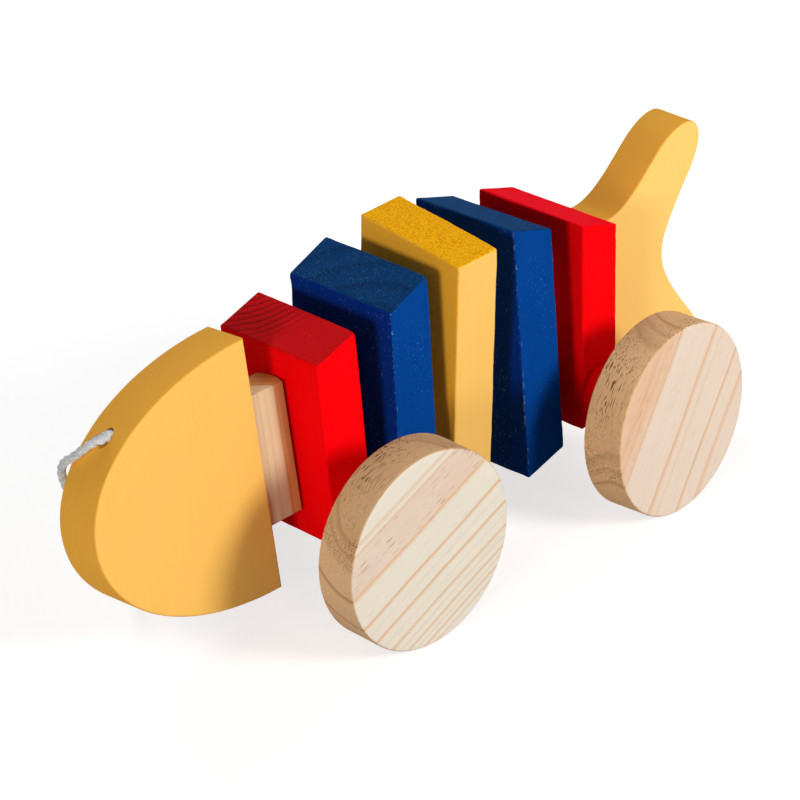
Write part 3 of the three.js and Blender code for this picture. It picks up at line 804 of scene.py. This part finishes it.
# Woods: pale and pinker ground of faces, rims and neck, and their late wood
CREAM = (0.74, 0.69, 0.59)
ROSE = (0.76, 0.63, 0.52)
PINK = (0.71, 0.55, 0.44)
PEACH = (0.74, 0.49, 0.335)
LATE = (0.68, 0.34, 0.135)
TAN = (0.72, 0.48, 0.275)
TAN_DEEP = (0.66, 0.42, 0.225)
TAN_ROSE = (0.79, 0.5, 0.265)
TAN_WARM = (0.78, 0.49, 0.25)
TAN_LATE = (0.36, 0.16, 0.06)
# The neck's pale wood is darker and warmer than the other pine: partly its own tone, partly painted shade and
# painted reflection of the red block and yellow head beside it.
NECK_PALE_WITH_PAINTED_LIGHT = (0.68, 0.52, 0.32)
NECK_DEEP = (0.62, 0.25, 0.055)
NECK_LATE = (0.38, 0.13, 0.04)
COTTON = (0.8, 0.8, 0.79)
COTTON_SHADE = (0.4, 0.41, 0.43)

# Year rings across each wood: place, width and strength
FRONT_RINGS = [
    (27.2, 2.2, 0.5), (24.2, 1.2, 0.4), (11.2, 2, 0.85), (-1.5, 1.5, 1), (-6.2, 0.8, 0.25),
    (-10.2, 1.4, 0.95), (-14.2, 0.7, 0.25), (-17.8, 1.6, 0.75), (-21.2, 0.8, 0.45), (-24.2, 1.1, 0.85),
    (-26.6, 0.7, 0.45), (-28.7, 1.1, 0.8), (-31.2, 0.8, 0.6),
]
REAR_RINGS = [
    (29, 3, 0.4), (25, 2, 0.35), (20.4, 1.5, 0.7), (0.6, 2.2, 0.75), (-4.5, 1.3, 0.35), (-15.7, 1.6, 0.9),
    (-24.4, 2.6, 0.6),
]
OTHER_RINGS = [
    (28, 2, 0.7), (19, 1.8, 0.8), (9, 2, 0.8), (-3, 1.7, 0.9), (-13, 1.8, 0.8), (-21, 1.5, 0.8),
    (-29, 1.7, 0.7),
]
NECK_RINGS = [(12.4, 1.6, 0.5), (8.8, 1.3, 0.45), (5.2, 0.8, 0.6), (0.9, 1.4, 0.2), (-2.4, 1.2, 0.3)]
BAND_RINGS = [(22, 2, 0.6), (17, 2.4, 0.6), (11.5, 2.2, 0.7), (6, 2, 0.7)]

yellow = paint("yellow_paint", YELLOW, YELLOW_SHADE, 1)
# Tail paint, partly painted light.
tail_paint_with_painted_light = paint("tail_side_with_painted_light", LEMON, LEMON_SHADE, 12)
ochre = paint("yellow_edge", OCHRE, OCHRE_SHADE, 8)
amber = paint("amber_side", AMBER, AMBER_SHADE, 2)
# The amber block's front paint, with painted shade.
amber_front_painted_shade = paint("amber_front_painted_shade", PAINTED_SHADE_AMBER, PAINTED_SHADE_AMBER_STREAKS, 13)
amber_end = end_grain(
    "amber_end", colour=(0.86, 0.28, 0.001), shade=(0.77, 0.23, 0.0005), pith=(-30, 40), pitch=4.2,
    rings=0.25, reach=(40, 90), speck=(1, 0.54, 0.008), specks=1, pits=0.35, seed=3,
    dusty=(0.36, 0.56), bare=0.9, grit=1.5,
)
red = paint("red_side", RED, RED_SHADE, 4)
red_end = end_grain(
    "red_end", colour=(0.64, 0.003, 0.006), shade=(0.22, 0.002, 0.003), pith=(20, 36), pitch=2.9,
    rings=0.9, reach=(36, 48), speck=(0.8, 0.03, 0.03), specks=0.25, pits=0.25, seed=5,
)
pale_red_end = end_grain(
    "pale_red_end", colour=(1, 0.001, 0.014), shade=(0.88, 0.001, 0.008), pith=(20, 60), pitch=4.4,
    rings=0.4, reach=(60, 90), speck=(1, 0.05, 0.08), specks=0.3, pits=0.2, seed=9,
)
BLUE_WEAR = {"speck": CHALK_BLUE, "specks": 0.45, "corner": (BLOCK_THICKNESS / 2, BLOCK_WIDTH / 2)}
blue = paint("blue_side", BLUE, BLUE_SHADE, 6, **BLUE_WEAR)
# The blue blocks' front paint, darker with painted shade.
blue_front_painted_shade = paint("blue_front_painted_shade", PAINTED_SHADE_BLUE, PAINTED_SHADE_BLUE_STREAKS, 14, **BLUE_WEAR)
blue_end = end_grain(
    "blue_end", colour=(0.001, 0.042, 0.155), shade=(0.001, 0.02, 0.082), pith=(-32, -22), pitch=9.5,
    rings=0.6, reach=(60, 90), speck=(0.1, 0.25, 0.46), specks=0.4, pits=0.3, seed=7,
)
rear_blue_end = end_grain(
    "rear_blue_end", colour=(0.001, 0.045, 0.16), shade=(0.001, 0.026, 0.1), pith=(30, -30), pitch=8,
    rings=0.4, reach=(60, 90), speck=(0.06, 0.2, 0.4), specks=0.14, pits=0.3, seed=11,
)
FRONT_GRAIN = {
    "turn": (0, 26, 0), "rings": FRONT_RINGS, "seed": 1,
    "tilt": 0.1, "bow": -0.035, "face": -WHEEL_OUTER,
}
REAR_GRAIN = {
    "turn": (0, 56, 0), "rings": REAR_RINGS, "seed": 2,
    "tilt": -0.2, "bow": 0.03, "face": -WHEEL_OUTER,
}
OTHER_GRAIN = {
    "turn": (0, -38, 0), "rings": OTHER_RINGS, "seed": 3,
    "tilt": 0.2, "bow": 0.04, "face": WHEEL_OUTER,
}
front_pine = pine("front_pine", pale=CREAM, pink=PINK, late=LATE, zone=(11.2, 24.4), **FRONT_GRAIN)
rear_pine = pine("rear_pine", pale=ROSE, pink=PEACH, late=LATE, zone=(20.2, 36), **REAR_GRAIN)
other_pine = pine("other_pine", pale=CREAM, pink=PINK, late=LATE, zone=(6, 19), **OTHER_GRAIN)
RIM_WOOD = {"late": TAN_LATE, "dashes": 0.9, "fuzz": 0.3}
front_rim = pine("front_rim", pale=TAN, pink=TAN_DEEP, zone=(20, 36), dotted=0.6, **RIM_WOOD, **FRONT_GRAIN)
rear_rim = pine(
    "rear_rim", pale=TAN_WARM, pink=TAN_ROSE, zone=(8, 55), span=120, dotted=0.6, **RIM_WOOD, **REAR_GRAIN
)
other_rim = pine("other_rim", pale=TAN, pink=TAN_DEEP, zone=(6, 36), dotted=0.62, **RIM_WOOD, **OTHER_GRAIN)
band_pine = pine(
    "band_pine", (0, -90, 0), BAND_RINGS, CREAM, PINK, LATE,
    zone=(6, 16), span=60, seed=4, tilt=0.4, dashes=0.35,
)
# The neck's wood, with painted shade and reflection in its pale part.
neck_pine_with_painted_light = pine(
    "neck_pine_with_painted_light", (0, -90, 0), NECK_RINGS, NECK_PALE_WITH_PAINTED_LIGHT, NECK_DEEP, NECK_LATE,
    zone=(4.4, 29), span=60, seed=5, tilt=0.7, dashes=0.2, fuzz=0.1,
)
rope = cotton("cotton", COTTON, COTTON_SHADE)


# Pieces


def dress(piece, body, slot, nodes, *materials):
    """Gives a piece its materials and body, and hides the CAD parts of the nodes it stands for."""
    for made in materials:
        piece.data.materials.append(made)
    smooth(piece)
    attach(piece, body)
    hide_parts(*nodes)


def ends_differ(piece):
    """Gives the second material to the faces that look up or down, a third, a copy of the side paint with
    painted shade, to those that look ahead.
    """
    for face in piece.data.polygons:
        face.material_index = int(abs(face.normal.z) > FACING)
        if len(piece.data.materials) > 2 and face.normal.x < -FACING:
            face.material_index = 2


def rims_differ(piece):
    """Gives the second material to the faces round the rim, which look along neither side of Y."""
    for face in piece.data.polygons:
        face.material_index = int(abs(face.normal.y) < FACING)


# Each block's slot, and the paint of its sides, its ends and, where it differs, its front, which is the side
# paint with painted shade
PAINTS = {
    "front_red": ("red_paint", red, red_end),
    "front_blue": ("blue_paint", blue, blue_end, blue_front_painted_shade),
    "middle_yellow": ("amber_paint", amber, amber_end, amber_front_painted_shade),
    "rear_blue": ("blue_paint", blue, rear_blue_end, blue_front_painted_shade),
    "rear_red": ("red_paint", red, pale_red_end),
}


def spacer_piece(name, link, start, end, wood, bore_aside=0):
    """A spacer from start to its crowned end along a link's X, with the cord's bore through it."""
    half = SPACER_WIDTH / 2
    sweep = math.asin(half / CROWN_RADIUS)
    outline = [(start, -half), (start, half)]
    for i in range(CROWN_STEPS + 1):
        angle = sweep * (1 - 2 * i / CROWN_STEPS)
        outline.append((end + CROWN_RADIUS * (math.cos(angle) - 1), CROWN_RADIUS * math.sin(angle)))
    piece = mesh_object(name + "_look", *slab(outline, SPACER_HEIGHT, SPACER_EASE, "Z"), frame_of(link))
    carve(piece, drill("bore", CORD_BORE / 2, start - 1, end + 1, moved(link, 0, bore_aside, 0), "X"))
    dress(piece, link, "raw_pine", [name], wood)


for seed, (link, (slot_name, *paints)) in enumerate(PAINTS.items()):
    place = frame_of(link)
    block = mesh_object(link + "_block_look", *worn_block(link, 7.3 * seed + 1), place)
    cutters = [drill("bore", CORD_BORE / 2, -BLOCK_THICKNESS, BLOCK_THICKNESS, place, "X")]
    if link in AXLE_SPOTS:
        x, z = AXLE_SPOTS[link]
        axle_place = moved(link, x, 0, z)
        cutters.append(drill("axle_bore", AXLE_BORE / 2, -BLOCK_WIDTH, BLOCK_WIDTH, axle_place, "Y"))
    carve(block, *cutters)
    dress(block, link, slot_name, [link + "_block"], *paints)
    ends_differ(block)
    rear = BLOCK_THICKNESS / 2 + GLUE_GAP
    spacer_piece(link + "_spacer", link, rear, rear + BLOCKS[link][2], band_pine)

spacer_piece("neck_spacer", "head", NECK_FRONT, CROWN_RADIUS, neck_pine_with_painted_light, HEAD_OFFSET)

# Head and tail boards
nose = (HEAD_REAR - HEAD_LENGTH, NOSE_HEIGHT)
chin = NOSE_HEIGHT + CHIN_FULLNESS * (HEAD_BOTTOM - NOSE_HEIGHT)
brow = NOSE_HEIGHT + BROW_FULLNESS * (HEAD_TOP - NOSE_HEIGHT)
head_top, head_bottom = (HEAD_REAR, HEAD_TOP), (HEAD_REAR, HEAD_BOTTOM)
over = (HEAD_REAR - BROW_FULLNESS * HEAD_LENGTH, HEAD_TOP)
under = (HEAD_REAR - CHIN_FULLNESS * HEAD_LENGTH, HEAD_BOTTOM)
outline = [head_top]
outline += bezier(head_top, over, (nose[0], brow), nose, HEAD_STEPS)
outline += bezier(nose, (nose[0], chin), under, head_bottom, HEAD_STEPS)
head_place = moved("head", 0, HEAD_OFFSET, 0)
head = mesh_object("head_board_look", *slab(outline, BOARD_THICKNESS, BOARD_EASE, "Y"), head_place)
mouth_place = moved("head", MOUTH[0], HEAD_OFFSET, MOUTH[1])
carve(
    head,
    drill("pocket", POCKET_WIDTH / 2, HEAD_REAR - POCKET_DEPTH, HEAD_REAR + 1, head_place, "X"),
    drill("hole", CORD_HOLE / 2, -CORD_HOLE_DEPTH, CORD_HOLE_DEPTH, mouth_place, "X"),
)
dress(head, "head", "yellow_paint", ["head_board"], yellow, ochre)
rims_differ(head)


def tail_edge(added):
    """One lobe's edge from the root to the notch, its root set out by an added height."""
    edge = [(0, TAIL_ROOT_HALF + added)]
    for ax, az, bx, bz, x, z in TAIL_LOBE:
        az += added if len(edge) == 1 else 0
        edge += bezier(edge[-1], (ax, az), (bx, bz), (x, z), TAIL_STEPS)
    return edge


outline = tail_edge(0) + [(x, -z) for x, z in reversed(tail_edge(TAIL_ROOT_DROP)[:-1])]
outline = [(x, z + TAIL_RISE) for x, z in outline]
tail_place = frame_of("tail")
tail = mesh_object("tail_board_look", *slab(outline, BOARD_THICKNESS, BOARD_EASE, "Y"), tail_place)
carve(
    tail,
    drill("bore", CORD_BORE / 2, -1, TAIL_NOTCH, tail_place, "X"),
    drill("pocket", POCKET_WIDTH / 2, TAIL_NOTCH - POCKET_DEPTH, TAIL_NOTCH + POCKET_DEPTH, tail_place, "X"),
)
dress(tail, "tail", "yellow_paint", ["tail_board"], tail_paint_with_painted_light, ochre)
rims_differ(tail)

# Wheels, hubs and axles
wheel_rim, hub_rim = WHEEL_RADIUS - WHEEL_EASE, HUB_RADIUS - HUB_EASE
wheel_profile = [
    (0, WHEEL_INNER + WHEEL_BORE_DEPTH),
    (WHEEL_BORE / 2, WHEEL_INNER + WHEEL_BORE_DEPTH),
    (WHEEL_BORE / 2, WHEEL_INNER),
    (WHEEL_RADIUS - WHEEL_RING, WHEEL_INNER),
    *rounded((WHEEL_RADIUS, WHEEL_INNER), (wheel_rim, WHEEL_INNER), (WHEEL_RADIUS, WHEEL_INNER + WHEEL_EASE)),
    *rounded((WHEEL_RADIUS, WHEEL_OUTER), (WHEEL_RADIUS, WHEEL_OUTER - WHEEL_EASE), (wheel_rim, WHEEL_OUTER)),
    (WHEEL_RADIUS - WHEEL_RING, WHEEL_OUTER),
    (0, WHEEL_OUTER),
]
hub_profile = [
    (HUB_BORE / 2, HUB_FROM),
    *rounded((HUB_RADIUS, HUB_FROM), (hub_rim, HUB_FROM), (HUB_RADIUS, HUB_FROM + HUB_EASE), HUB_EASE_STEPS),
    *rounded((HUB_RADIUS, HUB_TO), (HUB_RADIUS, HUB_TO - HUB_EASE), (hub_rim, HUB_TO), HUB_EASE_STEPS),
    (HUB_BORE / 2, HUB_TO),
]
WHEEL_WOODS = {
    "front_left": (front_pine, front_rim),
    "rear_left": (rear_pine, rear_rim),
    "front_right": (other_pine, other_rim),
    "rear_right": (other_pine, other_rim),
}
for end in ("front", "rear"):
    wheels, link = f"{end}_wheels", f"{end}_red"
    for side, sign in (("left", -1), ("right", 1)):
        points, faces = turned([(r, y * sign) for r, y in wheel_profile], ROUND_SIDES["wheel"])
        wheel = mesh_object(f"{end}_{side}_wheel_look", points, faces, frame_of(wheels))
        dress(wheel, wheels, "raw_pine", [f"{end}_{side}_wheel"], *WHEEL_WOODS[f"{end}_{side}"])
        rims_differ(wheel)
        points, faces = turned([(r, y * sign) for r, y in hub_profile], ROUND_SIDES["hub"], closed=True)
        hub = mesh_object(f"{end}_{side}_hub_look", points, faces, frame_of(wheels))
        dress(hub, link, "red_paint", [f"{end}_{side}_hub"], red)
    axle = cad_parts[f"{end}_axle"]
    axle.data.materials.clear()
    axle.data.materials.append(other_pine)
    smooth(axle)

# Pull cord
drape = [in_link("head", MOUTH[0] + x, HEAD_OFFSET + y, MOUTH[1] + z) / MM for x, y, z in CORD_DRAPE]


def coil_spot(turn):
    """The coil's middle line: turns that wind inward on the floor, climb, and wind out on top."""
    angle = 2 * math.pi * turn - math.pi / 2
    radius = COIL_RADIUS + COIL_PITCH * (abs(turn - TURNS_IN) - TURNS_IN)
    share = min(max((turn - TURNS_IN + COIL_CLIMB / 2) / COIL_CLIMB, 0), 1)
    rise = COIL_LAYER * share * share * (3 - 2 * share)
    return (
        COIL_CENTRE[0] + radius * math.cos(angle),
        COIL_CENTRE[1] + radius * math.sin(angle),
        COIL_FLOOR + rise,
    )


coil = [coil_spot(TURNS_ALL * i / COIL_STEPS) for i in range(COIL_STEPS + 1)]
coil_in = (coil[0][0] - CORD_WIDTH, coil[0][1], coil[0][2])
coil_out = (coil[-1][0], coil[-1][1] + COIL_END_RUN, coil[-1][2] - COIL_END_DROP)
route = evenly(catmull([*drape, *CORD_FALL, coil_in, *coil, coil_out], CURVE_STEP), CORD_STEP)
cord = mesh_object("pull_cord_look", *twine(route, CORD_WIDTH, swell=CORD_SWELL))
cord.data.materials.append(rope)
smooth(cord, CORD_SMOOTH_ANGLE)
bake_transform(cord)
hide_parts("pull_cord", "pull_cord_coil")

knot_spot = Vector(coil_out) + Vector((0, GLUE_GAP + END_KNOT[1] / 2, 0))
knot = mesh_object(
    "pull_cord_knot_look",
    *twine(knot_path(*END_KNOT), END_KNOT[2], sides=15, closed=True),
    Matrix.Translation(knot_spot * MM),
)
dress(knot, "front_red", "cotton", ["pull_cord_knot"], rope)

tie_left, tie_right = TIE_INNER + TIE_CORNER, TIE_OUTER - TIE_CORNER
tie_bottom, tie_top = TIE_LOW + TIE_CORNER, TIE_HIGH - TIE_CORNER
tie_loop = []
for cx, cz, first in (
    (tie_right, tie_top, 0), (tie_left, tie_top, 90),
    (tie_left, tie_bottom, 180), (tie_right, tie_bottom, 270),
):
    for i in range(TIE_CORNER_STEPS + 1):
        angle = math.radians(first + 90 / TIE_CORNER_STEPS * i)
        tie_loop.append((cx + TIE_CORNER * math.cos(angle), cz + TIE_CORNER * math.sin(angle)))
tie_points, tie_faces = [], []
for offset in TIE_LOOPS:
    loop = np.array([(COIL_CENTRE[0] - x, COIL_CENTRE[1] + offset, z) for x, z in tie_loop])
    points, faces = twine(loop, TIE_CORD, sides=10, closed=True)
    tie_faces += [[i + len(tie_points) for i in f] for f in faces]
    tie_points += points
tie = mesh_object("pull_cord_tie_look", tie_points, tie_faces)
dress(tie, "front_red", "cotton", ["pull_cord_tie"], rope)

# The tight cord through the links, in a stretch for each joint
crown_ends = {"head": CROWN_RADIUS}
for link, (_, _, reach) in BLOCKS.items():
    crown_ends[link] = BLOCK_THICKNESS / 2 + GLUE_GAP + reach
fronts = {link: -BLOCK_THICKNESS / 2 for link in BLOCKS} | {"tail": 0}
for a, b in zip(CHAIN, CHAIN[1:]):
    aside = HEAD_OFFSET if a == "head" else 0
    start = in_link(a, NECK_FRONT if a == "head" else 0, aside, 0)
    end = in_link(b, TAIL_NOTCH - POCKET_DEPTH if b == "tail" else 0, 0, 0)
    crown, face = in_link(a, crown_ends[a], aside, 0), in_link(b, fronts[b], 0, 0)
    middle = (crown + face) / 2
    path = evenly(catmull([p / MM for p in (start, middle, end)], BODY_CORD_STEP), BODY_CORD_STEP)
    stretch = mesh_object(f"body_cord_{a}_to_{b}", *twine(path, BODY_CORD_WIDTH, sides=18))
    stretch.data.materials.append(rope)
    smooth(stretch, CORD_SMOOTH_ANGLE)
    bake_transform(stretch)
    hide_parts("body_cord")

knot_reach = BODY_KNOT[1] / 2 + GLUE_GAP
for link, spot, aside in (
    ("head", NECK_FRONT - knot_reach, HEAD_OFFSET), ("tail", TAIL_NOTCH - POCKET_DEPTH + knot_reach, 0)
):
    points, faces = twine(knot_path(*BODY_KNOT), BODY_KNOT[2], sides=15, closed=True)
    points = [(p[1] + spot, p[0] + aside, p[2]) for p in points]
    body_knot = mesh_object(f"body_cord_{link}_knot_look", points, faces, frame_of(link))
    dress(body_knot, link, "cotton", [f"body_cord_{link}_knot"], rope)

# Floor, background and lights
scene = bpy.context.scene
scene.view_settings.view_transform = "Standard"
corners = [(x * FLOOR_HALF, y * FLOOR_HALF, 0) for x, y in ((-1, -1), (1, -1), (1, 1), (-1, 1))]
floor = mesh_object("floor", corners, [[0, 1, 2, 3]])
floor_web = Web("floor")
speckle = floor_web.noise(floor_web.coords((0, 0, 0), (0.02, 0.02, 0.02)), 2)
floor_web.finish(floor_web.mix(speckle, *FLOOR_GREYS), 0.8)
sight = floor_web.add("ShaderNodeLightPath")
seen = floor_web.math("MAXIMUM", sight.outputs["Is Camera Ray"], sight.outputs["Is Glossy Ray"])
seen = floor_web.math("MAXIMUM", seen, sight.outputs["Is Transmission Ray"])
floor_web.shader.inputs["Emission Color"].default_value = (1, 1, 1, 1)
outward = floor_web.add("ShaderNodeVectorMath", {"operation": "LENGTH"})
floor_web.put(outward.inputs[0], floor_web.coords((0, 0, 0), (MM, MM, MM)))
paler = floor_web.ramp(outward.outputs["Value"], *FLOOR_GLOW)
floor_web.put(floor_web.shader.inputs["Emission Strength"], floor_web.math("MULTIPLY", seen, paler))
floor.data.materials.append(floor_web.material)

world = bpy.data.worlds.new("world")
scene.world = world
world.use_nodes = True
sky = world.node_tree
ray = sky.nodes.new("ShaderNodeLightPath")
glow = sky.nodes["Background"]
brighter = sky.nodes.new("ShaderNodeMapRange")
brighter.inputs["To Min"].default_value = WORLD_LIGHT
brighter.inputs["To Max"].default_value = 1.0
direct = sky.nodes.new("ShaderNodeMath")
seen = sky.nodes.new("ShaderNodeMath")
direct.operation = seen.operation = "MAXIMUM"
sky.links.new(ray.outputs["Is Camera Ray"], direct.inputs[0])
sky.links.new(ray.outputs["Is Glossy Ray"], direct.inputs[1])
sky.links.new(direct.outputs[0], seen.inputs[0])
sky.links.new(ray.outputs["Is Transmission Ray"], seen.inputs[1])
sky.links.new(seen.outputs[0], brighter.inputs["Value"])
sky.links.new(brighter.outputs[0], glow.inputs["Strength"])
glow.inputs["Color"].default_value = (1, 1, 1, 1)

for name, (place, size, power, colour) in LAMPS.items():
    light = bpy.data.lights.new(name, "AREA")
    light.shape = "DISK"
    light.size = size
    light.energy = power
    light.color = colour
    lamp = bpy.data.objects.new(name, light)
    lamp.location = place
    lamp.rotation_mode = "QUATERNION"
    lamp.rotation_quaternion = (Vector(LAMP_AIM) - Vector(place)).to_track_quat("-Z", "Y")
    scene.collection.objects.link(lamp)
